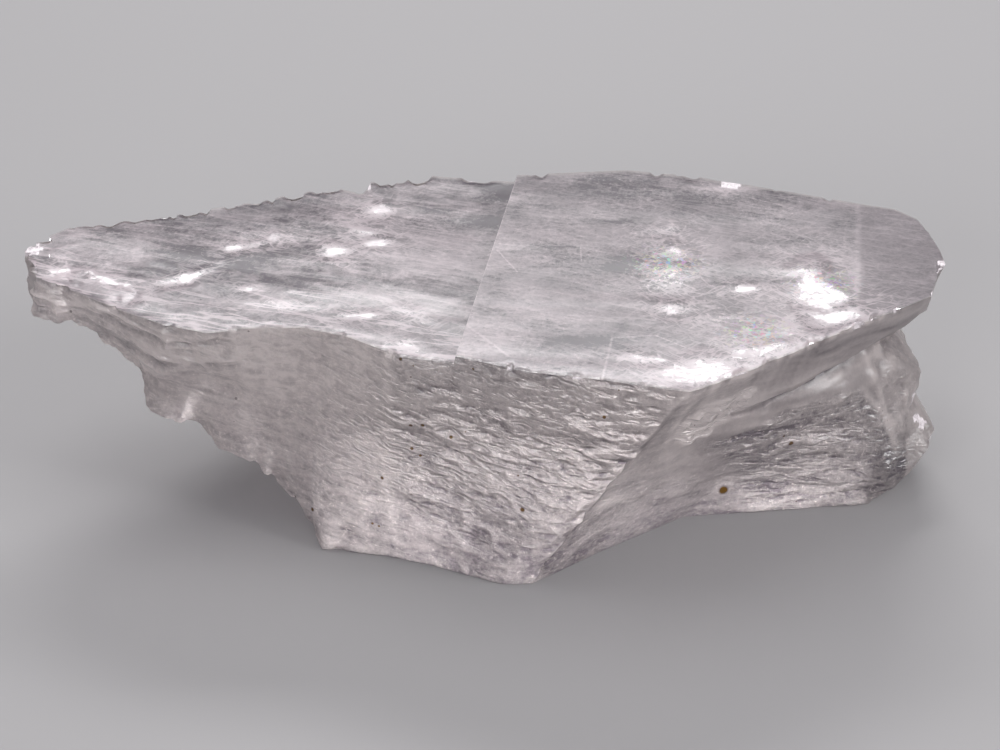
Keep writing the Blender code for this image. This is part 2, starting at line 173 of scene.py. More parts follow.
# Ledges (above 0) and cracks (below 0) along the walls: how white, half the width, and their points. The
# white is a painted highlight along a ledge and the dark is painted shade in a crack; both also move the wall
# out or in.
LEDGE_HIGHLIGHTS_AND_CRACK_SHADES = [
    (0.45, 0.40, [(25.4, 7.5, 17.1), (31.7, 11.1, 16.3), (35.7, 14.3, 17.6)]),
    (0.40, 0.35, [(22.0, 4.6, 19.6), (26.0, 7.0, 19.6), (30.0, 10.0, 20.0), (36.0, 13.4, 20.6)]),
    (-0.50, 0.45, [(22.6, 5.2, 18.4), (26.0, 7.8, 17.9), (29.3, 10.0, 18.6), (33.8, 13.1, 18.6),
                   (38.0, 16.0, 18.8)]),
    (-0.45, 0.40, [(12.1, -0.6, 17.0), (17.4, 3.5, 16.4), (21.8, 6.6, 14.9), (28.0, 9.5, 13.9),
                   (31.1, 11.1, 13.4)]),
    (0.35, 0.40, [(14.0, 0.6, 19.4), (18.4, 3.2, 17.8), (22.8, 6.6, 16.2), (28.0, 9.2, 15.2)]),
    (0.35, 0.35, [(28.8, 9.8, 14.5), (31.5, 11.2, 15.1), (35.9, 13.2, 15.8), (38.2, 15.1, 15.3),
                  (40.8, 15.7, 11.7), (42.4, 15.4, 8.1)]),
    (0.50, 0.45, [(38.5, 17.4, 18.3), (39.7, 16.7, 15.8), (42.0, 15.9, 9.8)]),
    (0.45, 0.40, [(39.8, 18.4, 17.9), (42.6, 19.8, 14.0), (43.8, 18.3, 11.4)]),
    (-0.40, 0.50, [(41.7, 21.5, 16.9), (40.6, 18.0, 16.2), (40.0, 16.2, 14.3)]),
    (0.40, 0.32, [(-41.6, 15.5, 25.6), (-36.1, 12.3, 24.7), (-30.8, 10.3, 24.2)]),
    (0.38, 0.32, [(-38.6, 14.3, 22.7), (-34.1, 11.5, 22.7), (-30.4, 10.3, 22.9)]),
    (0.38, 0.32, [(-35.5, 12.2, 19.4), (-32.1, 11.2, 21.4), (-28.2, 10.2, 24.3)]),
    (-0.40, 0.35, [(-43.0, 16.6, 24.2), (-38.0, 13.4, 23.7), (-33.0, 11.0, 23.9), (-29.0, 10.1, 25.0)]),
    (-0.35, 0.35, [(-37.0, 13.0, 21.2), (-33.0, 11.4, 20.6), (-29.0, 10.6, 22.2)]),
    (0.60, 0.25, [(-34.3, 11.5, 23.4), (-32.1, 10.9, 23.4)]),
    (0.60, 0.25, [(-31.6, 10.7, 23.7), (-30.1, 10.2, 23.6)]),
    (0.35, 0.40, [(-27.6, 10.4, 26.0), (-26.6, 11.2, 22.0), (-26.2, 11.5, 18.0), (-27.4, 12.2, 12.0)]),
    (-0.25, 0.40, [(-28.5, 10.6, 24.5), (-27.4, 11.4, 20.0), (-27.2, 11.8, 17.0)]),
    (0.22, 0.50, [(-11.4, 6.6, 26.0), (-11.0, 6.2, 18.0), (-12.2, 5.9, 9.0), (-10.8, 5.4, 2.0)]),
]
# Larger brown grains: place and radius.
GRAINS = [
    (24.1, 11.9, 4.0, 0.70), (33.5, 11.8, 15.8, 0.20), (29.9, 10.5, 12.4, 0.22), (30.8, 10.9, 11.1, 0.38),
    (-10.0, 5.5, 25.8, 0.25), (-7.9, 4.6, 18.2, 0.30), (-5.0, 3.6, 17.4, 0.25), (2.3, 0.9, 10.1, 0.32),
    (-12.3, 5.7, 10.5, 0.26), (-20.0, 8.9, 3.8, 0.32), (-13.5, 6.0, 4.2, 0.20), (-12.8, 5.8, 4.0, 0.18),
]
# Lines across the front wall, as pairs of x and z: the broken tip lies above the first, the lobe below the
# second and right of the third, whose pairs are of z and x.
SHELL_LINE = [(-38.0, 18.0), (-36.5, 18.7), (-34.9, 18.2), (-31.2, 19.6), (-27.4, 21.2)]
LOBE_TOP = [
    (20.0, 16.5), (23.0, 14.5), (27.0, 15.2), (31.0, 16.6), (36.0, 16.4), (38.0, 15.6), (41.0, 11.4),
    (42.5, 7.4),
]
LOBE_START = [(3.0, 26.5), (16.0, 20.0)]
# The crumpled patch: x and z, half length and half width, cosine and sine of its slant.
CRUMPLED = (21.8, 19.6), (5.2, 2.8), (0.75, 0.66)
# Places on the deck with the colours of thin films, painted in as specks: painted reflection colours.
RAINBOWS = [(17.6, 21.4), (26.0, 8.6), (33.6, 17.4)]
RAINBOW_SIZE = (2.6, 2.2)      # half length and half width of each

# The small marks: how far apart, in millimetres, and how strong.
SPECKS_APART = 1.8     # the fine dirt on the etched wall
GRAIN_APART = 0.5      # grain, flecks, pits and rainbow specks
SPLINTERS_APART = 0.6  # the grain of the white bruises
GRAIN_CORE = 0.6       # share of a brown grain's radius that is all dirt
STROKE_WHITE = 0.65    # how white a hairline of STROKES is
GYPSUM_IOR = 1.52

# Colours of the selenite where it is clear and milky, its walls' tint, its dirt and its depth.
CLEAR, MILKY, WALL_TINT, DIRT, DEPTHS = "#564c58", "#fff0f6", "#f8fdf4", "#301400", "#cfc6c8"
# Colours of its bruises, from hollows to splinters, of the table and of the daylight.
BRUISE_HOLLOW, BRUISE_SPLINTER, TABLE, DAYLIGHT = "#a59ca0", "#e4dcdf", "#979596", "#c9c9cf"

# The camera's place, in millimetres and degrees, worked out from its lens and how high it looks down.
AIM = (0.0, 20.7, 13.0)
CAMERA_AWAY, LOOK_DOWN, LENS, SENSOR = 271.5, 35.5, 90.0, 36.0

# The studio, in metres and watts: each lamp's name, width and height, and place.
LAMPS = [
    ("overhead", (0.5, 0.4), (-0.1, 0.10, 0.6)), ("behind", (0.30, 0.09), (0.0, 0.40, 0.40)),
    ("front", (0.3, 0.2), (-0.25, -0.50, 0.30)), ("right", (0.2, 0.2), (0.45, -0.15, 0.25)),
]
LAMP_WATTS = 1.5       # of each lamp
LIT_POINT = (0, 0, 0.015)      # where they all face
TABLE_WIDTH, TABLE_GAP = 3.0, 0.0001   # the table lies this gap below the crystal
NEAREST_SEEN = 0.01    # the camera sees nothing nearer
# How often light is followed on: in all and through the crystal, and off matt and glossy faces.
BOUNCES, OFF_FACES = 6, 2

# The finish that each point of the mesh carries, by name, and the underside's: a name it leaves out is 0.
FINISHES = ("frost", "gloss", "deck", "worn", "spark", "glow", "rainbow", "lined", "etched", "veil", "chip")
UNDERSIDE = {"frost": 0.33, "gloss": 0.4, "veil": 0.5}

# Settings of the nodes that are used most.
ADD, SUBTRACT, MULTIPLY, MULTIPLY_ADD, MAXIMUM, ABSOLUTE, DISTANCE = (
    {"operation": name}
    for name in ("ADD", "SUBTRACT", "MULTIPLY", "MULTIPLY_ADD", "MAXIMUM", "ABSOLUTE", "DISTANCE")
)
CLAMPED_MULTIPLY_ADD = {"operation": "MULTIPLY_ADD", "use_clamp": True}


def lattice(i, j, seed):
    """A fixed number from -1 to 1 for each whole-numbered cell: the fraction of a large sine."""
    n = np.sin(i * 127.1 + j * 311.7 + seed * 74.7) * 43758.5453
    return 2 * (n - np.floor(n)) - 1


def noise(x, y, seed):
    """Smooth lumps one unit wide, from -1 to 1: each cell's four corner numbers blended by 3t^2 - 2t^3."""
    i, j = np.floor(x), np.floor(y)
    s, t = x - i, y - j
    s, t = s * s * (3 - 2 * s), t * t * (3 - 2 * t)
    low = lattice(i, j, seed) * (1 - s) + lattice(i + 1, j, seed) * s
    high = lattice(i, j + 1, seed) * (1 - s) + lattice(i + 1, j + 1, seed) * s
    return low * (1 - t) + high * t


def layered(x, y, seed, octaves=4):
    """Cloudy noise from about -1 to 1: 1.6 times the mean of octaves of noise, each half as wide and 0.65 as
    strong as the last."""
    strengths = [0.65 ** k for k in range(octaves)]
    parts = [noise(x * 2 ** k, y * 2 ** k, seed + 100 * k) * strength for k, strength in enumerate(strengths)]
    return sum(parts) / sum(strengths) * 1.6


def crests(x, y, seed):
    """Winding crests, from 0 to 1: one less the size of the noise, squared, so they peak where it is 0."""
    return (1 - np.abs(noise(x, y, seed))) ** 2


def ramp(value, start, end):
    """0 before start, 1 after end, straight between."""
    return np.clip((value - start) / (end - start), 0, 1)


def soft(value, start, end):
    """0 before start, 1 after end, and between them the smooth 3t^2 - 2t^3."""
    t = ramp(value, start, end)
    return t * t * (3 - 2 * t)


def corner_rings():
    """Points by level, side and corner: straight walls from rim to foot, and the rings at the right end."""
    rims = [np.column_stack([rim, np.full(len(rim), THICKNESS)]) for rim in (FRONT_RIM, BACK_RIM)]
    feet = [np.array(foot) for foot in (FRONT_FOOT, BACK_FOOT)]
    share = np.array(WALL_LEVELS)[:, None, None]
    front, back = (rim * (1 - share) + foot * share for rim, foot in zip(rims, feet))
    fronts = front.shape[1] - RING_START
    for level, ring in enumerate(RINGS.values(), start=1):
        front[level, RING_START:] = ring[:fronts]
        back[level, RING_END:] = ring[fronts:][::-1]
    return front, back


def stations():
    """Corner numbers, with fractions, of the mesh lines across the blade: about a CELL apart, on every
    corner, and just past the step."""
    rim = np.array(FRONT_RIM)
    lengths = np.linalg.norm(np.diff(rim, axis=0), axis=1)
    places = [
        np.linspace(k, k + 1, max(1, round(length / CELL)), endpoint=False)
        for k, length in enumerate(lengths)
    ]
    return np.sort([*np.concatenate(places), CLEFT + PAST_STEP, len(rim) - 1])


def along(corners, places):
    """Points at fractional corner numbers, straight between corners. Corners are on axis 1."""
    low = np.minimum(places.astype(int), corners.shape[1] - 2)
    share = (places - low)[None, :, None]
    return corners[:, low] * (1 - share) + corners[:, low + 1] * share


def girdle(places):
    """The closed band of walls: front, right end, back and left end, as rows down by columns round."""
    front, back = (along(side, places) for side in corner_rings())
    for side in (front, back):
        sunk = deck_height(side[0, :, 0], side[0, :, 1]) - THICKNESS
        side[:, :, 2] += sunk * (1 - np.array(WALL_LEVELS)[:, None])
    across = (np.arange(1, DECK_ROWS) / DECK_ROWS)[None, :, None]
    right = front[:, -1:] * (1 - across) + back[:, -1:] * across
    left = back[:, :1] * (1 - across) + front[:, :1] * across
    band = np.concatenate([front, right, back[:, ::-1], left], axis=1)
    rows = np.linspace(0, 1, WALL_ROWS + 1)
    level = np.interp(rows, WALL_LEVELS, np.arange(len(WALL_LEVELS)))
    return along(band.transpose(1, 0, 2), level).transpose(1, 0, 2)


def outward(band):
    """Unit normals of a closed band of walls, from the differences of its neighbours."""
    round_it = np.roll(band, -1, axis=1) - np.roll(band, 1, axis=1)
    down = np.gradient(band, axis=0)
    normal = np.cross(down, round_it)
    return normal / np.linalg.norm(normal, axis=2, keepdims=True)


def edge_distance(x, z):
    """How far right of the crystal edge, straight from foot to rim, a point of the front wall lies."""
    foot_x, rim_x = FRONT_FOOT[EDGE][0], FRONT_RIM[EDGE][0]
    return x - foot_x - (rim_x - foot_x) * z / THICKNESS


def fan(x, z):
    """Distances across and along the streaks right of the crystal edge, which fan out from it to the rim."""
    past_edge = edge_distance(x, z)
    level = ramp(past_edge, 0, FAN_WIDTH)
    return past_edge * (1 - level) - z * level, z * (1 - level) + past_edge * level


def wall_relief(band):
    """How far each wall point stands out of its flat wall, before the fine relief: the same as in the solid.

    Broken ends get lumps and ledges, the crystal faces get slanting etched ridges, and the face right of the
    crystal edge is slightly hollow, with streaks along that edge. Each noise takes the point's place over its
    lumps' length and height in millimetres, and the number of its pattern.
    """
    x, y, z = np.moveaxis(band, 2, 0)
    front = y < FRONT_BACK
    left_end = np.where(front, ramp(x, *BROKEN_LEFT_FRONT), ramp(x, *BROKEN_LEFT_BACK))
    right_end = ramp(x, *BROKEN_RIGHT)
    past_edge = edge_distance(x, z)
    near_edge = np.where(front, ramp(np.abs(past_edge), *NEAR_EDGE), 1)
    faces = np.where(front, ramp(x, *ETCHED_FRONT), ramp(x, *ETCHED_BACK)) * (1 - right_end) * near_edge
    beside_edge = front * ramp(past_edge, *NEAR_EDGE) * ramp(past_edge, *STREAKS_END)
    large, small = LUMPS
    lumps = large * noise(x / 5.5, z / 3.4 + x / 9, 1) + small * noise(x / 2.6, z / 1.9, 2)
    etched = ETCHING * noise(x / 6, (z + 0.25 * x) / 2.3, 3)
    hollow = HOLLOW * np.sin(np.pi * ramp(z, 0, THICKNESS))
    streaks = STREAKS * noise(past_edge / 2.2, z / 14, 5) - hollow
    relief = (left_end + 0.35 * right_end) * lumps + faces * (1 - beside_edge) * etched
    return relief + beside_edge * streaks


def ledges(points):
    """How white the painted highlights along ledges make each wall point, and below 0 how dark the painted
    shade in cracks: amount times e^(-d^2), where d is the distance over the half width, which wanders."""
    total = np.zeros(points.shape[:2])
    for amount, half_width, corners in LEDGE_HIGHLIGHTS_AND_CRACK_SHADES:
        nearest = np.full(points.shape[:2], np.inf)
        for start, end in zip(np.array(corners[:-1]), np.array(corners[1:])):
            run = end - start
            share = ((points - start) @ run / (run @ run)).clip(0, 1)
            away = points - start - share[..., None] * run
            nearest = np.minimum(nearest, np.linalg.norm(away, axis=2))
        wander = 1 + 0.5 * noise(points[..., 0] / 1.3, points[..., 2] / 1.3, 88)
        total += amount * np.exp(-(nearest / half_width / wander) ** 2)
    return total


def on_line(points, place):
    """The second coordinate of a line through points, given the first."""
    return np.interp(place, *np.transpose(points))


def wall_zones(band):
    """How much each wall point belongs to each kind of surface, from 0 to 1.

    On the front these are, from the left, the broken tip, the clean facet, the etched face up to the crystal
    edge, and right of it the crumpled patch, the lobe and the bare rest. Behind are the lobe's end and the
    back.
    """
    x, y, z = np.moveaxis(band, 2, 0)
    front = (y < FRONT_BACK) & (x < BROKEN_RIGHT[1])
    past_edge = edge_distance(x, z) + 0.5 * noise(x / 3, z / 3, 20)
    broken = front * soft(-x, 26.0, 27.2) * soft(z - on_line(SHELL_LINE, x), -0.2, 0.5)
    etched = front * soft(x + 1.8 * noise(x / 3, z / 2.5, 21), -15.5, -8.0) * soft(-past_edge, 0, 0.8)
    right = front * soft(past_edge, -0.3, 0.6)
    lobe = right * soft(x - on_line(LOBE_START, z), -1.0, 2.5) * soft(on_line(LOBE_TOP, x) - z, -0.3, 0.8)
    lobe_end = soft(x, 38, 41) * soft(20.0 - z, 0, 2) * (1 - lobe)
    (patch_x, patch_z), (long, wide), (cosine, sine) = CRUMPLED
    across = (x - patch_x) * cosine + (z - patch_z) * sine
    beside = (x - patch_x) * sine - (z - patch_z) * cosine
    ragged = 0.4 * noise(x / 1.5, z / 1.5, 22)
    crumpled = right * soft(1 - (across / long) ** 2 - (beside / wide) ** 2 + ragged, 0, 0.5)
    return SimpleNamespace(
        broken=broken, etched=etched, right=right, lobe=lobe, lobe_end=lobe_end, crumpled=crumpled,
        bare=right * (1 - lobe) * (1 - crumpled), back=(y > BACK_WALL) * (1 - lobe_end),
        facet=front * (1 - broken) * (1 - etched) * (1 - right) * soft(x, -44, -38),
    )


def fine_relief(band, round_it, zones):
    """Relief too fine for the solid, by kind of surface. Each is noise drawn out along its own grain."""
    x, y, z = np.moveaxis(band, 2, 0)
    past_edge = edge_distance(x, z)
    grain = z + 0.12 * x + 0.7 * noise(x / 5, z / 4, 23)
    scales = (
        0.30 * crests(x / 2.6, grain / 0.95, 24) + 0.16 * crests(x / 1.5, grain / 0.6, 25)
        + 0.08 * noise(x / 1.1, grain / 0.45, 26)
    )
    fibre = (z + 0.10 * x) + 1.2 * noise(x / 6, z / 4, 27)
    splinters = (
        0.45 * crests(x / 4, fibre / 1.7, 28) ** 2 * (0.6 + noise(x / 4, z / 3, 19))
        + 0.22 * crests(x / 2, fibre / 0.8, 18) + 0.06 * noise(x / 1.0, z / 0.5, 29)
    )
    lines = 0.03 * noise(x / 8, z / 1.2, 30) + 0.14 * crests(x / 4, grain / 0.9, 31) * ramp(z, 16, 8)
    lumps = 0.30 * noise(x / 1.6, z / 1.6, 32) * ramp(z, 9, 3) * ramp(x, -14, -18)
    patchy = (0.4 + noise(x / 7, z / 6, 44).clip(0, 1)) * (1 + ramp(z, 14, 4))
    pocked = 0.09 * noise(x / 1.0, z / 0.7, 43) * patchy
    across_fan, along_fan = fan(x, z)
    beside_edge = soft(past_edge, 8, 2)
    banded = soft(z, 14.5, 16.5) * soft(z, 22.0, 20.6) * soft(x, 18, 24)
    stripes = (0.04 + 0.12 * beside_edge) * crests(across_fan / 1.2, along_fan / 8, 33)
    stripes = stripes + 0.30 * banded * crests((z + 0.4 * noise(x / 6, z / 3, 81)) / 1.2, x / 16, 82)
    swirl = z - 0.22 * x + 0.9 * noise(x / 5, z / 4, 35)
    waves = 0.22 * crests(x / 5, swirl / 1.5, 36) + 0.09 * noise(x / 2.4, swirl / 0.6, 37)
    waves = waves + 0.14 * crests(x / 1.7, swirl / 0.8, 49)
    grit = 0.14 * noise(round_it / 1.3, z / 1.1, 38) + 0.07 * noise(round_it / 0.6, z / 0.6, 39)
    worn_edge = np.exp(-(past_edge / 1.5) ** 2) * (0.30 * noise(x / 2.0, z / 1.0, 42) - 0.42)
    crumple = 0.55 * crests(x / 1.6, (z - 0.6 * x) / 0.9, 40) + 0.14 * noise(x / 0.7, z / 0.6, 41)
    return (
        zones.etched * (1 - 0.45 * ramp(z, 14, 3)) * scales + zones.broken * splinters
        + zones.facet * (lines + lumps + pocked) + zones.bare * stripes + zones.lobe * waves
        + zones.lobe_end * grit + zones.crumpled * crumple
        + zones.back * (0.6 * scales + 0.3 * grit) + (y < FRONT_BACK) * worn_edge
    )


def cleft_side(x, y):
    """How far left of the step's line across the deck a plan point lies."""
    front, back = FRONT_RIM[CLEFT], BACK_RIM[CLEFT]
    return front[0] + (y - front[1]) * (back[0] - front[0]) / (back[1] - front[1]) - x


def left_part(x, y):
    """1 left of the step, 0 right of it, with a short blend between."""
    return soft(cleft_side(x, y), -0.1, 0.0)


def end_side(x, y):
    """How far right of the frosted end's line a plan point lies."""
    front_x, front_y = FRONT_RIM[END_LINE]
    return x - front_x - (y - front_y) * END_SLANT


def deck_height(x, y):
    """Height of the deck over a plan point: level at right, a step down to the rippled left part."""
    left_of = cleft_side(x, y)
    left = ramp(left_of, *STEP_RUN)
    ripples = RIPPLES * noise((x + 2 * y) / 14, (y - 0.3 * x) / 6, 4)
    return THICKNESS - left * STEP + left * ripples * ramp(left_of, 0, 4)


def flakes(x, y):
    """For each tipped flake: its share of a plan point, 1.45 less d, and its glow there, e^(-(d / 1.9)^2),
    both times its amount, and how far behind its middle the point is. d is the distance over its half
    sizes."""
    bent_x = x + 0.9 * noise(x / 2.2, y / 2.2, 83) + 0.5 * noise(x / 0.9, y / 0.9, 47)
    bent_y = y + 0.6 * noise(x / 2.2, y / 2.2, 84) + 0.4 * noise(x / 0.9, y / 0.9, 48)
    for flake_x, flake_y, long, wide, turn, amount in FLASHES:
        turn = np.radians(turn)
        ahead = (bent_x - flake_x) * np.cos(turn) + (bent_y - flake_y) * np.sin(turn)
        beside = (bent_y - flake_y) * np.cos(turn) - (bent_x - flake_x) * np.sin(turn)
        away = np.hypot(ahead / long, beside / wide)
        yield (1.45 - away).clip(0, 1) * amount, np.exp(-(away / 1.9) ** 2) * amount, y - flake_y


def deck_relief(x, y, from_rim):
    """Relief too fine for the solid: long growth ripples, shell-like waves left of the step, and a shoulder
    worn down along the tip's front rim, from which from_rim is measured."""
    left = left_part(x, y)
    slab = 0.020 * noise((x + 3 * noise(x / 20, y / 9, 50)) / 16, (y + 0.07 * x) / 1.5, 51)
    slab = slab + 0.03 * noise(x / 22, y / 4.5, 52) + 0.006 * noise(x / 1.5, y / 1.0, 58)
    sweep = y + 0.32 * x + 1.6 * noise(x / 13, y / 10, 53)
    waves = 0.03 * noise(x / 7, sweep / 3.8, 54) + 0.025 * (crests(x / 5, sweep / 2.0, 55) - 0.4)
    waves = waves + 0.012 * noise(x / 3.0, sweep / 0.9, 56) + 0.010 * noise(x / 1.2, y / 0.8, 57)
    relief = left * waves + (1 - left) * slab
    shoulder = left * soft(-x, 30, 36) * ramp(from_rim, 2.8, 0) ** 2
    return relief - 0.35 * shoulder * (1 + 0.8 * noise(x / 2.2, y / 2.2, 59))


def flake_relief(x, y):
    """Height of the tipped flakes: each drops towards the front by TIPPED times the distance."""
    return TIPPED * sum(share * back_of for share, _, back_of in flakes(x, y))


def worn(x, y):
    """How strongly the deck is speckled and smeared, from 0 to 1: in patches, least at the frosted end."""
    patches = (0.45 + 0.55 * layered(x / 6, y / 3.5, 87)).clip(0.12, 1)
    return patches * (1 - 0.7 * soft(end_side(x, y), 0, 0.2))


def lined(x, y):
    """How densely the deck is ruled with white hairlines, from 0 to 1: most along its front left rim."""
    front_y = on_line(FRONT_RIM, x)
    left = left_part(x, y)
    return left * (0.35 + 0.65 * soft(y - front_y, 9, 4)) * soft(-x, -2, 6) + (1 - left) * 0.22


def sparkle(x, y):
    """How much the deck glitters, from 0 to 1: all of it in the middle of a tipped flake."""
    return np.maximum.reduce([share for share, _, _ in flakes(x, y)])


def spot(x, y, middle_x, middle_y, long, wide):
    """e^(-d^2) of a plan point: d is its distance from the middle over the half length and half width."""
    return np.exp(-((x - middle_x) / long) ** 2 - ((y - middle_y) / wide) ** 2)


def rainbow(x, y):
    """How much of the colours of thin films the deck shows, from 0 to 1: a spot round each of RAINBOWS. These
    reflection colours are painted in.
    """
    return sum(spot(x, y, *middle, *RAINBOW_SIZE) for middle in RAINBOWS).clip(0, 1)


def glow(x, y):
    """How near the deck's points are to tipped flakes, from 0 to 1, fading out past twice their size: the
    painted glow round their highlights.
    """
    return 1 - np.prod([1 - painted_flash_glow for _, painted_flash_glow, _ in flakes(x, y)], axis=0)


def deck_veils(x, y):
    """How milky the deck is, from 0, clear, to 1, white: drawn-out clouds, streaks that run down to the right
    on the left part, a pale line right of the step and a darker one left of it, a painted highlight along
    the step's edge, and the frosted end with its line."""
    left_of, left = cleft_side(x, y), left_part(x, y)
    fold_x, fold_y = x + 3 * noise(x / 9, y / 9, 70), y + 3 * noise(x / 9, y / 9, 71)
    clouds = layered(fold_x / 8, fold_y / 4, 72)
    sweep = y + 0.30 * x + 1.2 * noise(x / 12, y / 8, 53)
    streaks = crests(x / 7, sweep / 1.7, 85) ** 3 + 0.7 * crests(x / 4, sweep / 0.9, 86) ** 3 - 0.45
    combed = layered(x / 9, (y + 0.09 * x) / 0.9, 73, 2)
    speckled = layered(x / 1.8, y / 1.4, 74, 3)
    for *patch, amount in PATCHES:
        clouds = clouds + amount * spot(x, y, *patch) / FULL_PATCH
    end = soft(end_side(x, y), 0, 0.1)
    end_line = 0.22 * np.exp(-(end_side(x, y) / 0.35) ** 2)
    # Painted highlight along the step's edge: paler just right of its line, darker just left of it.
    step_highlight_and_dark_side = np.exp(-(left_of / 1.1) ** 2) * np.where(left_of > 0, -0.12, 0.14)
    return (
        0.13 - 0.05 * left + 0.28 * clouds * (1 - 0.7 * end) + 0.34 * left * streaks
        + 0.09 * (1 - left) * (1 - end) * combed + 0.12 * (1 - 0.4 * end) * speckled
        - 0.05 * end + end_line + step_highlight_and_dark_side - 0.05 * soft(y, 29, 34)
    )


def wall_veils(band, round_it, zones, fine):
    """How milky the walls are, from 0 to 1: slanting wisps, paler on the crests of the fine relief, mottling
    on the facet, and streaks that fan out from the crystal edge to the rim at right. Part of it is painted
    light and shade: the crests paler and the hollows darker, walls darker towards the foot and paler near
    the rim, a paler back wall and lobe's end, and in part the white of the crumpled patch."""
    x, _, z = np.moveaxis(band, 2, 0)
    along_wall = round_it + 2 * noise(round_it / 7, z / 7, 75)
    slant = z + 0.14 * x + 1.5 * noise(x / 7, z / 6, 76)
    clouds = layered(along_wall / 7, slant / 3.5, 77, 5)
    wisps = layered(along_wall / 4, slant / 0.8, 78, 2)
    # Painted light and shade: crest is the fine relief's height above its mean, so the walls are paler on its
    # crests and darker in its hollows.
    crest = fine - fine.mean(axis=0, keepdims=True)
    across_fan, along_fan = fan(x, z)
    streaks = layered(across_fan / 1.1, along_fan / 9, 79, 3)
    beside_edge = soft(edge_distance(x, z), 7, 2)
    sheaf = crests(across_fan / 1.0, along_fan / 7, 89) ** 2 - 0.35
    mottled = layered(round_it / 1.1, (z + 0.10 * x) / 0.6, 95, 2)
    return (
        0.45 + (0.15 - 0.05 * zones.facet - 0.06 * zones.etched) * clouds + 0.09 * wisps
        # Painted light: the back wall is paler, offsetting its shade.
        + (1.0 + 0.7 * zones.broken) * crest.clip(-0.3, 0.3) + 0.2 * zones.back
        # Painted shade: the facet and the etched face are darker towards the foot, offsetting the light that
        # the table throws up; and painted light: all walls are paler near the rim, where they lie in shade.
        + zones.facet * (0.16 - 0.56 * ramp(z, 18, 2) + 0.14 * soft(-x, 15, 24))
        - 0.18 * zones.etched * ramp(z, 22, 2) - 0.22 * zones.etched
        # Painted light: the lobe's end is paler, where light comes through it.
        + 0.01 * zones.broken - 0.46 * zones.lobe + 0.16 * zones.lobe_end
        # The crumpled patch is white, partly as painted light that offsets its shade.
        + 0.74 * zones.crumpled + 0.08 * ramp(z, 16, 26) + 0.15 * zones.facet * mottled
        + zones.bare * ((0.20 + 0.16 * beside_edge) * streaks + (0.1 + 0.45 * beside_edge) * sheaf
                        # Painted shade: the bare wall is darker towards its foot.
                        - 0.45 * ramp(z, 12, 0) - 0.10 * ramp(z, 14, 20))
    )


def sides(row, count, rows):
    """A closed row's front and back, from left to right, and its right and left ends, from front to back."""
    right = row[count - 1:count + rows]
    back = row[count + rows - 1:2 * count + rows - 1][::-1]
    left = np.concatenate([row[2 * count + rows - 2:], row[:1]])[::-1]
    return row[:count], back, right, left


def sheet(band_row, count, rows):
    """Fills a closed row of the band with straight lines from front to back, bent near both ends to meet the
    end walls."""
    front, back, right, left = sides(band_row, count, rows)
    across = (np.arange(rows + 1) / rows)[:, None, None]
    filled = front[None] * (1 - across) + back[None] * across
    near_left = np.clip(1 - np.arange(count) / BENT_COLUMNS, 0, 1)[None, :, None]
    near_right = near_left[:, ::-1]
    bent_left, bent_right = left[:, None] - filled[:, :1], right[:, None] - filled[:, -1:]
    return filled + near_left * bent_left + near_right * bent_right


def rim_chips(round_it, band):
    """How far the rim is chipped back: nicks all round, and saw teeth on the far left and near right rims."""
    x, y, z = np.moveaxis(band, 2, 0)
    below = band[0, :, 2] - z
    nicked = noise(round_it / 1.4, below / 0.9, 60) + 0.6 * noise(round_it / 0.5, below / 0.5, 61)
    toothed = noise(round_it / 1.3, round_it * 0 + 0.5, 62) + 0.5 * noise(round_it / 0.6, below / 2, 63)
    far_left = soft(-x, 4, 10) * (y > TIP_BACK)
    near_right = soft(x, 19, 22) * soft(x, 42, 38) * (y < RAGGED_BACK)
    nicks = CHIPS * ramp(nicked, 0.25, 0.9) * ramp(below, 0.9, 0.2)
    teeth = (TEETH * far_left + RIGHT_TEETH * near_right) * ramp(toothed, 0.0, 0.9)
    return nicks + teeth * ramp(below, 1.8, 0)


def splintered(x, y, from_rim):
    """How white splinters make the rim right of the crystal edge, less with distance from the rim."""
    ragged = ramp(noise(x / 0.8, y / 0.8, 45) + 0.5 * noise(x / 0.35, y / 0.35, 46), -0.5, 0.3)
    right = (y < RAGGED_BACK) * soft(x, 19, 23) * soft(x, 41, 38)
    return 0.9 * ragged * ramp(from_rim, 1.1, 0.2) * right


def knocks(points):
    """How near each point is to a spot knocked white: 1 in its middle, 0 outside it, and ragged between."""
    x, y, z = np.moveaxis(points, 2, 0)
    total = np.zeros(x.shape)
    for knock_x, knock_y, knock_z, radius in KNOCKS:
        away = np.sqrt((x - knock_x) ** 2 + (y - knock_y) ** 2 + (z - knock_z) ** 2)
        total = np.maximum(total, 1 - away / radius)
    return (total * 2 + 0.5 * noise(x / 0.7, (y + z) / 0.7, 64) * (total > 0)).clip(0, 1)


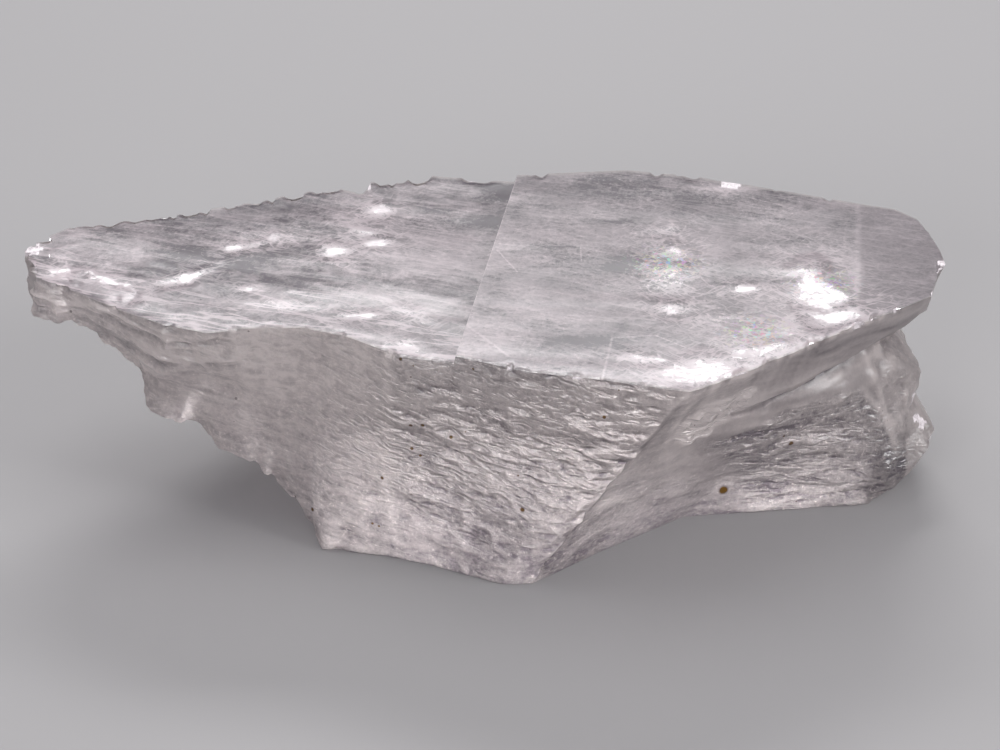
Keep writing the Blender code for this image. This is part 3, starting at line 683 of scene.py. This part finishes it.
def wall_finish(flat, band, round_it, zones, fine, ledge_light_and_crack_shade, chips):
    """Each kind of finish of the walls, by name, from 0 to 1. flat is the band before it has its relief."""
    x, y, z = np.moveaxis(flat, 2, 0)
    return {
        "frost": (
            0.38 + 0.04 * zones.facet - 0.04 * zones.broken - 0.06 * zones.etched
            - 0.06 * zones.lobe - 0.06 * zones.crumpled
        ),
        "gloss": 0.1 + 0.3 * zones.broken + 0.4 * zones.etched + 0.6 * zones.lobe + 0.7 * zones.crumpled,
        "etched": (
            zones.etched * (1 - 0.55 * ramp(z, 13, 3)) + 0.9 * zones.lobe + zones.crumpled
            + 0.7 * zones.broken + (0.7 + 0.15 * ramp(z, 16, 4)) * zones.facet + 0.4 * zones.lobe_end
            + zones.bare * (0.45 * soft(edge_distance(x, z), 12, 1) + 0.4 * ramp(z, 14, 6))
        ),
        # Chips look white only right of the far left rim's clear teeth.
        "chip": np.maximum(ramp(chips, 0.12, 0.3) * (x > -8), knocks(band)),
        # The ledges' painted highlights and the cracks' painted shade.
        "veil": wall_veils(band, round_it, zones, fine) + ledge_light_and_crack_shade + splintered(x, y, flat[0, :, 2] - z),
    }


def deck_finish(deck, from_rim):
    """Each kind of finish of the deck, by name, from 0 to 1."""
    x, y = deck[..., 0], deck[..., 1]
    frosted_end = soft(end_side(x, y), 0, 0.2)
    return {
        "frost": 0.31 + 0.14 * frosted_end, "gloss": 0.08 - 0.06 * frosted_end, "deck": 1,
        "spark": sparkle(x, y), "glow": glow(x, y), "rainbow": rainbow(x, y),
        "worn": worn(x, y), "lined": lined(x, y), "chip": knocks(deck),
        "veil": deck_veils(x, y) + splintered(x, y, from_rim * 0.8),
    }


def walls(places):
    """The band of walls with its relief, and each kind of its finish."""
    flat = girdle(places)
    x, y, z = np.moveaxis(flat, 2, 0)
    steps = np.linalg.norm(np.diff(flat[0, :, :2], axis=0, append=flat[0, :1, :2]), axis=1)
    round_it = np.broadcast_to(np.cumsum(steps), z.shape)
    below, above_foot = z[0] - z, z - z[-1]
    thin = ramp(z[0] - z[-1], *THIN_WALL)
    # Painted highlights along ledges and painted shade in cracks, which also move the wall out and in.
    zones, ledge_light_and_crack_shade = wall_zones(flat), ledges(flat)
    relief = wall_relief(flat) * ramp(z, 0, 2) * thin * ramp(below, 0, 4).clip(0.3, 1)
    fine = fine_relief(flat, round_it, zones) * soft(below, 0, 0.7) * soft(z, -0.2, 0.5)
    chips = rim_chips(round_it, flat)
    knobs = (layered(round_it / 2.4, above_foot / 2.0, 65, 3) - 0.2) * ramp(above_foot, 3.0, 0)
    knobs = knobs * soft(-x, 15, 19)
    out = relief + fine - chips + 0.5 * ledge_light_and_crack_shade + 0.55 * knobs
    band = flat + outward(flat) * out[..., None]
    band[..., 2] -= 0.45 * knobs * (y < TIP_BACK)
    rim_x, rim_y = band[0, :, 0], band[0, :, 1]
    band[0, :, 2] = deck_height(rim_x, rim_y) + flake_relief(rim_x, rim_y) - 0.5 * chips[0]
    band[-1, :, 2] = np.maximum(band[-1, :, 2], 0)
    return band, wall_finish(flat, band, round_it, zones, fine, ledge_light_and_crack_shade, chips)


def deck_sheet(rim, count):
    """The deck with its relief, which fades out at the front and back rims, and each kind of its finish."""
    deck = sheet(rim, count, DECK_ROWS)
    x, y = deck[..., 0], deck[..., 1]
    from_rim = y - y[:1]
    inside = np.minimum(from_rim, y[-1:] - y)
    deck[..., 2] = deck_height(x, y) + flake_relief(x, y)
    deck[..., 2] += deck_relief(x, y, from_rim) * ramp(inside, 0, 1.6)
    return deck, deck_finish(deck, from_rim)


def underside(foot, count):
    """The underside, flat where it rests and lumpy where it is raised."""
    under = sheet(foot, count, DECK_ROWS)
    x, y, z = np.moveaxis(under, 2, 0)
    under[..., 2] += UNDERSIDE_LUMPS * noise(x / 4, y / 7, 6) * ramp(z, 1, 6)
    return under


def crystal():
    """Points of the walls, deck and underside, and for each name in FINISHES the three arrays of its numbers.

    The deck's and underside's edge points repeat the walls' first and last rows.
    """
    places = stations()
    band, band_finish = walls(places)
    deck, top_finish = deck_sheet(band[0], len(places))
    under = underside(band[-1], len(places))
    finish = {
        name: [
            np.zeros(grid.shape[:2]) + numbers.get(name, 0)
            for grid, numbers in ((band, band_finish), (deck, top_finish), (under, UNDERSIDE))
        ]
        for name in FINISHES
    }
    return band, deck, under, finish


def mesh_faces(levels, columns, count, rows):
    """Quads of the band, the deck and the underside, which share the band's first and last rows."""
    ring = np.arange(levels * columns).reshape(levels, columns)
    turned = np.roll(ring, -1, axis=1)
    around = np.stack([ring[:-1], ring[1:], turned[1:], turned[:-1]], axis=-1).reshape(-1, 4)
    inner = (rows - 1) * (count - 2)
    faces = [around]
    for edge, first, turn in ((ring[0], levels * columns, 1), (ring[-1], levels * columns + inner, -1)):
        grid = np.empty((rows + 1, count), int)
        grid[0], grid[-1], grid[:, -1], grid[:, 0] = sides(edge, count, rows)
        grid[1:-1, 1:-1] = first + np.arange(inner).reshape(rows - 1, count - 2)
        quads = np.stack([grid[:-1, :-1], grid[:-1, 1:], grid[1:, 1:], grid[1:, :-1]], axis=-1)
        faces.append(quads.reshape(-1, 4)[:, ::turn])
    return np.concatenate(faces)


def closed_skin(band, deck, under):
    """One array, in the mesh's vertex order, from those of the band, the deck and the underside, whose edges
    repeat the band's."""
    return np.concatenate([
        part.reshape(-1, *part.shape[2:]) for part in (band, deck[1:-1, 1:-1], under[1:-1, 1:-1])
    ])


def build_crystal(materials):
    """The crystal as one mesh object. Its faces take the second material where they are chipped white."""
    band, deck, under, finish = crystal()
    points = closed_skin(band, deck, under)
    points[:, :2] -= MIDDLE
    faces = mesh_faces(band.shape[0], band.shape[1], deck.shape[1], DECK_ROWS)
    mesh = bpy.data.meshes.new("cleaved_blade")
    mesh.from_pydata((points * MM).tolist(), [], faces.tolist())
    mesh.polygons.foreach_set("use_smooth", np.ones(len(faces), bool))
    for name, parts in finish.items():
        layer = mesh.attributes.new(name, "FLOAT", "POINT")
        layer.data.foreach_set("value", closed_skin(*parts).astype(np.float32))
    for material in materials:
        mesh.materials.append(material)
    chipped = closed_skin(*finish["chip"])[faces].mean(axis=1) > 0.5
    mesh.polygons.foreach_set("material_index", chipped.astype(np.int32))
    mesh.update()
    mesh.set_sharp_from_angle(angle=np.radians(SHARP_ANGLE))
    blade = bpy.data.objects.new("cleaved_blade", mesh)
    bpy.context.scene.collection.objects.link(blade)
    return blade


def linear(hex_colour):
    """An sRGB hex colour as linear red, green and blue, with the sRGB curve undone, and 1."""
    parts = [int(hex_colour[k:k + 2], 16) / 255 for k in (1, 3, 5)]
    return [c / 12.92 if c <= 0.04045 else ((c + 0.055) / 1.055) ** 2.4 for c in parts] + [1]


def node(tree, kind, settings=None, *values, **links):
    """Adds a node of a kind, named without its ShaderNode, with its properties from settings.

    Each input takes a value, an output socket, or a node for its first output: the first inputs from values,
    in order, and others from links, by name, or by number after an underscore.
    """
    made = tree.nodes.new("ShaderNode" + kind)
    for name, value in (settings or {}).items():
        setattr(made, name, value)
    named = {
        int(name[1:]) if name[0] == "_" else name.replace("_", " "): link for name, link in links.items()
    }
    for key, value in [*enumerate(values), *named.items()]:
        if isinstance(value, bpy.types.Node):
            value = value.outputs[0]
        if isinstance(value, bpy.types.NodeSocket):
            tree.links.new(value, made.inputs[key])
        else:
            made.inputs[key].default_value = value
    return made


def at(x, y, z):
    """A point of the tables above as a place in the scene, in metres."""
    return Vector((x - MIDDLE[0], y - MIDDLE[1], z)) * MM


def crest_pattern(tree, place, millimetres, drawn, turned):
    """Winding crests about so many millimetres apart, drawn out along turned axes: one less four times the
    noise's distance from a half."""
    along = node(tree, "Mapping", {"vector_type": "TEXTURE"}, Vector=place, Scale=drawn, Rotation=turned)
    cloud = node(
        tree, "TexNoise", Vector=along, Scale=METRE / millimetres, Detail=2.0, Roughness=0.55, Distortion=0.4
    )
    off_half = node(tree, "Math", SUBTRACT, cloud, 0.5)
    size = node(tree, "Math", ABSOLUTE, off_half)
    return node(tree, "Math", CLAMPED_MULTIPLY_ADD, size, -4.0, 1.0)


def strokes(tree, place, grain):
    """White hairlines on the deck: each fades with the distance from its straight run, to nothing at half its
    width, and is broken by the grain."""
    total = None
    for start, end, half_width in STROKES:
        start, end = at(*start, THICKNESS), at(*end, THICKNESS)
        run = end - start
        from_start = node(tree, "VectorMath", SUBTRACT, place, start)
        share = node(
            tree, "VectorMath", {"operation": "DOT_PRODUCT"}, from_start, run / run.length_squared
        ).outputs["Value"]
        share = node(tree, "Clamp", Value=share)
        nearest = node(tree, "VectorMath", {"operation": "SCALE"}, run, Scale=share)
        away = node(tree, "VectorMath", DISTANCE, from_start, nearest).outputs["Value"]
        stroke = node(
            tree, "MapRange", Value=away, From_Min=half_width * MM, From_Max=0.0, To_Max=STROKE_WHITE
        )
        total = node(tree, "Math", MAXIMUM, total, stroke) if total else stroke
    broken = node(tree, "Math", MULTIPLY_ADD, grain, 3.0, -0.7)
    return node(tree, "Math", MULTIPLY, total, broken)


def specks(tree, place, etched):
    """Dark grains caught on the surface: a sparse scatter where it is etched, and a few larger ones."""
    cells = node(tree, "TexVoronoi", Vector=place, Scale=METRE / SPECKS_APART)
    size = node(tree, "Math", MULTIPLY_ADD, cells.outputs["Color"], 0.30, -0.165)
    total = node(tree, "Math", {"operation": "LESS_THAN"}, cells.outputs["Distance"], size)
    total = node(tree, "Math", MULTIPLY, total, etched)
    for *grain_at, radius in GRAINS:
        away = node(tree, "VectorMath", DISTANCE, place, at(*grain_at)).outputs["Value"]
        dot = node(tree, "MapRange", Value=away, From_Min=radius * MM, From_Max=radius * GRAIN_CORE * MM)
        total = node(tree, "Math", MAXIMUM, total, dot)
    return total


def winding_scratches(tree, place):
    """Scratches that wind two ways across the deck: the sharp tops of the higher of two crest patterns."""
    rising = crest_pattern(tree, place, 1.3, (3.0, 1.0, 1.0), (0, 0, 0.5))
    falling = crest_pattern(tree, place, 1.1, (3.4, 1.0, 1.0), (0, 0, -0.6))
    winding = node(tree, "Math", MAXIMUM, rising, falling)
    return node(tree, "MapRange", Value=winding, From_Min=0.83, From_Max=0.96, To_Max=0.7)


def flake_glitter(tree, grain, spark, scratches, deck):
    """A tipped flake's glitter: all of the flake's middle, and scattered grains towards its edge, less where
    it is scratched. It makes the coat glossy there, and is also painted white as a highlight."""
    glitter = node(tree, "Math", MULTIPLY_ADD, grain, 5.0, -3.7)
    glitter = node(tree, "Math", MULTIPLY_ADD, spark, 2.4, glitter)
    glitter = node(tree, "Math", MULTIPLY_ADD, scratches, -1.6, glitter)
    glitter = node(tree, "MapRange", Value=glitter, From_Min=0.0, From_Max=0.6)
    return node(tree, "Math", MULTIPLY, glitter, deck)


def weighted(tree, total, weights):
    """Total plus each pattern times its scale plus its offset, where the last value of its row lets it."""
    for pattern, scale, offset, where in weights:
        part = node(tree, "Math", MULTIPLY_ADD, pattern, scale, offset)
        if where is not None:
            part = node(tree, "Math", MULTIPLY, part, where)
        total = node(tree, "Math", ADD, total, part)
    return total


def milky_shade(tree, milkiness, deck):
    """Grey where it is clear to white where it is milky, a little less pink on the walls than the deck."""
    shade = node(tree, "ValToRGB", Fac=milkiness)
    clear, milky = shade.color_ramp.elements
    clear.position, clear.color = 0.0, linear(CLEAR)
    milky.position, milky.color = 1.0, linear(MILKY)
    wall = node(tree, "Math", SUBTRACT, 1.0, deck)
    return node(
        tree, "Mix", {"data_type": "RGBA", "blend_type": "MULTIPLY"}, wall, _6=shade, _7=linear(WALL_TINT)
    ).outputs[2]


def painted_iridescent_specks(tree, place, grain, thin_films, shade):
    """The shade with specks of every hue in three places, where thin gaps lie under the surface: the colours
    that such gaps reflect, painted in.
    """
    hues = node(tree, "TexVoronoi", Vector=place, Scale=METRE / GRAIN_APART).outputs["Color"]
    hues = node(tree, "HueSaturation", Color=hues, Saturation=1.3, Value=1.7)
    tinted = node(tree, "MapRange", Value=grain, From_Min=0.50, From_Max=0.58, To_Max=0.6)
    tinted = node(tree, "Math", MULTIPLY, tinted, thin_films)
    return node(tree, "Mix", {"data_type": "RGBA"}, tinted, _6=shade, _7=hues).outputs[2]


def fine_bumps(tree, grain, scales, etched, deck, spark):
    """Relief finer than the mesh: scales and pits on the walls, and on the deck faint pits that break up its
    glints."""
    pitted = node(tree, "Math", MULTIPLY_ADD, etched, 0.5, 0.15)
    skin = node(tree, "Mix", {"data_type": "FLOAT"}, deck, _2=pitted, _3=0.10)
    pits = node(tree, "Math", CLAMPED_MULTIPLY_ADD, spark, 0.1, skin)
    bump = node(tree, "Bump", Height=grain, Strength=pits, Distance=0.14 * MM)
    return node(tree, "Bump", Height=scales, Strength=etched, Distance=0.16 * MM, Normal=bump)


def selenite():
    """Clear gypsum, cleaved on its deck and etched on its walls, with milky veils: a glassy glint over
    grey-white."""
    material = bpy.data.materials.new("selenite_cleaved_and_etched")
    material.use_nodes = True
    tree = material.node_tree
    tree.nodes.clear()
    place = node(tree, "TexCoord").outputs["Object"]
    frost, gloss, deck, worn_deck, spark, painted_flash_glow, thin_films, lined_deck, etched, veil = (
        node(tree, "Attribute", {"attribute_name": name}).outputs["Fac"] for name in FINISHES[:-1]
    )

    # Etched scales on the walls, 0.9 mm apart and three times as long, slanting down to the right: raised by
    # the bump, and painted paler along their crests as highlights.
    scales = crest_pattern(tree, place, 0.9, (3.0, 2.0, 1.0), (0, 0.16, 0))
    # Smears along the deck, and white hairlines ruled on it.
    smears = crest_pattern(tree, place, 0.8, (3.2, 1.1, 1.0), (0, 0, -0.18))
    ruled = crest_pattern(tree, place, 1.5, (7.0, 1.0, 1.0), (0, 0, -0.28))
    hairlines = node(tree, "MapRange", Value=ruled, From_Min=0.84, From_Max=0.97, To_Max=0.8)
    # Scratches are densest near the tipped flakes, whitened there as painted glints.
    scratches = winding_scratches(tree, place)
    near_flakes = node(tree, "Math", MULTIPLY_ADD, painted_flash_glow, 1.1, 0.14)
    scratched = node(tree, "Math", MULTIPLY, near_flakes, deck)
    # Flecks and pits half a millimetre wide and finer, all over. On the etched walls the white flecks are
    # painted glints.
    grain = node(tree, "TexNoise", Vector=place, Scale=METRE / GRAIN_APART, Detail=3.0, Roughness=0.75)
    white_flecks_and_glints = node(tree, "MapRange", Value=grain, From_Min=0.61, From_Max=0.70, To_Max=0.7)
    glitter = flake_glitter(tree, grain, spark, scratches, deck)

    milkiness = weighted(tree, veil, (
        # Painted highlights: the etched scales paler along their crests.
        (scales, 0.45, -0.22, etched), (smears, 0.50, -0.25, worn_deck), (hairlines, 1.0, 0.0, lined_deck),
        (grain, 0.45, -0.22, None), (grain, 1.4, -0.70, worn_deck), (grain, 0.8, -0.40, etched),
        # Painted highlights: scratches whitened near the tipped flakes, the glow round them, and on the next
        # line their glitter painted white.
        (white_flecks_and_glints, 0.6, 0.0, worn_deck), (scratches, 0.9, 0.0, scratched), (painted_flash_glow, 0.26, 0.0, None),
        # Painted glints: the white flecks on the etched walls.
        (white_flecks_and_glints, 1.1, 0.0, etched), (glitter, 0.8, 0.0, None), (strokes(tree, place, grain), 1.0, 0.0, None),
    ))
    milkiness = node(tree, "Math", MULTIPLY_ADD, milkiness, 0.87, 0.13)
    shade = milky_shade(tree, milkiness, deck)
    # Painted reflection colours: specks of thin-film hues.
    clean = painted_iridescent_specks(tree, place, grain, thin_films, shade)
    dirt = specks(tree, place, etched)
    dirty = node(tree, "Mix", {"data_type": "RGBA"}, dirt, _6=clean, _7=linear(DIRT)).outputs[2]

    # Roughness: each zone's frost, unevenly worn.
    uneven = node(tree, "Math", MULTIPLY_ADD, grain, 0.16, -0.08)
    roughness = node(tree, "Math", {"operation": "ADD", "use_clamp": True}, frost, uneven)
    bump = fine_bumps(tree, grain, scales, etched, deck, spark)

    # A smooth skin over the frost gives the crisp glints, most of it on the tipped flakes.
    coat = node(tree, "Math", CLAMPED_MULTIPLY_ADD, glitter, 1.0, gloss)
    shader = node(
        tree, "BsdfPrincipled", Base_Color=dirty, Roughness=roughness, Normal=bump, IOR=GYPSUM_IOR,
        Transmission_Weight=0.77, Specular_IOR_Level=0.2, Coat_Weight=coat, Coat_Roughness=0.12,
        Coat_Normal=bump,
    )
    haze = node(tree, "VolumeAbsorption", Color=linear(DEPTHS), Density=3.0)
    node(tree, "OutputMaterial", Surface=shader, Volume=haze)
    return material


def bruised_selenite():
    """Gypsum crushed to white splinters where the rim and the nubs were knocked: chalky, with few glints."""
    material = bpy.data.materials.new("selenite_bruised_white")
    material.use_nodes = True
    tree = material.node_tree
    shader = tree.nodes["Principled BSDF"]
    place = node(tree, "TexCoord").outputs["Object"]
    grain = node(tree, "TexNoise", Vector=place, Scale=METRE / SPLINTERS_APART, Detail=5.0, Roughness=0.7)
    shade = node(tree, "ValToRGB", Fac=grain)
    dark, light = shade.color_ramp.elements
    dark.position, dark.color = 0.35, linear(BRUISE_HOLLOW)
    light.position, light.color = 0.60, linear(BRUISE_SPLINTER)
    bump = node(tree, "Bump", Height=grain, Strength=0.6, Distance=0.15 * MM)
    tree.links.new(shade.outputs[0], shader.inputs["Base Color"])
    tree.links.new(bump.outputs[0], shader.inputs["Normal"])
    shader.inputs["Roughness"].default_value = 0.4
    shader.inputs["IOR"].default_value = GYPSUM_IOR
    return material


def table_top():
    """A plain pale table, painted matt."""
    mesh = bpy.data.meshes.new("table_top")
    half = TABLE_WIDTH / 2
    corners = [(-half, -half, 0), (half, -half, 0), (half, half, 0), (-half, half, 0)]
    mesh.from_pydata(corners, [], [(0, 1, 2, 3)])
    table = bpy.data.objects.new("table_top", mesh)
    bpy.context.scene.collection.objects.link(table)
    material = bpy.data.materials.new("matt_paint")
    material.use_nodes = True
    shader = material.node_tree.nodes["Principled BSDF"]
    shader.inputs["Base Color"].default_value = linear(TABLE)
    shader.inputs["Roughness"].default_value = 0.7
    mesh.materials.append(material)
    table.location.z = -TABLE_GAP


def area_light(name, size, place):
    """A soft rectangular lamp, size metres wide and high, which faces the middle of the crystal."""
    lamp = bpy.data.lights.new(name, "AREA")
    lamp.shape = "RECTANGLE"
    lamp.size, lamp.size_y = size
    lamp.energy = LAMP_WATTS
    made = bpy.data.objects.new(name, lamp)
    made.location = place
    made.rotation_euler = (Vector(LIT_POINT) - Vector(place)).to_track_quat("-Z", "Y").to_euler()
    bpy.context.scene.collection.objects.link(made)


def studio():
    """Soft daylight all round, with lamps overhead, behind for the deck's glints, in front and at right."""
    world = bpy.data.worlds.new("soft_room")
    bpy.context.scene.world = world
    world.use_nodes = True
    background = world.node_tree.nodes["Background"]
    background.inputs["Color"].default_value = linear(DAYLIGHT)
    background.inputs["Strength"].default_value = 0.65
    for name, size, place in LAMPS:
        area_light(name, size, place)


def camera():
    """Looks down on the blade from the front, along +Y."""
    lens = bpy.data.cameras.new("camera")
    lens.lens, lens.sensor_width = LENS, SENSOR
    lens.clip_start = NEAREST_SEEN
    made = bpy.data.objects.new("camera", lens)
    bpy.context.scene.collection.objects.link(made)
    angle = np.radians(LOOK_DOWN)
    made.location = at(*AIM) + Vector((0, -np.cos(angle), np.sin(angle))) * CAMERA_AWAY * MM
    made.rotation_euler = (np.pi / 2 - angle, 0, 0)
    bpy.context.scene.camera = made


camera()
studio()
table_top()
blade = build_crystal([selenite(), bruised_selenite()])
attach(blade, "root")
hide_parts(NODE)
scene = bpy.context.scene
scene.view_settings.view_transform = "Standard"
scene.cycles.max_bounces = scene.cycles.transmission_bounces = BOUNCES
scene.cycles.diffuse_bounces = scene.cycles.glossy_bounces = OFF_FACES
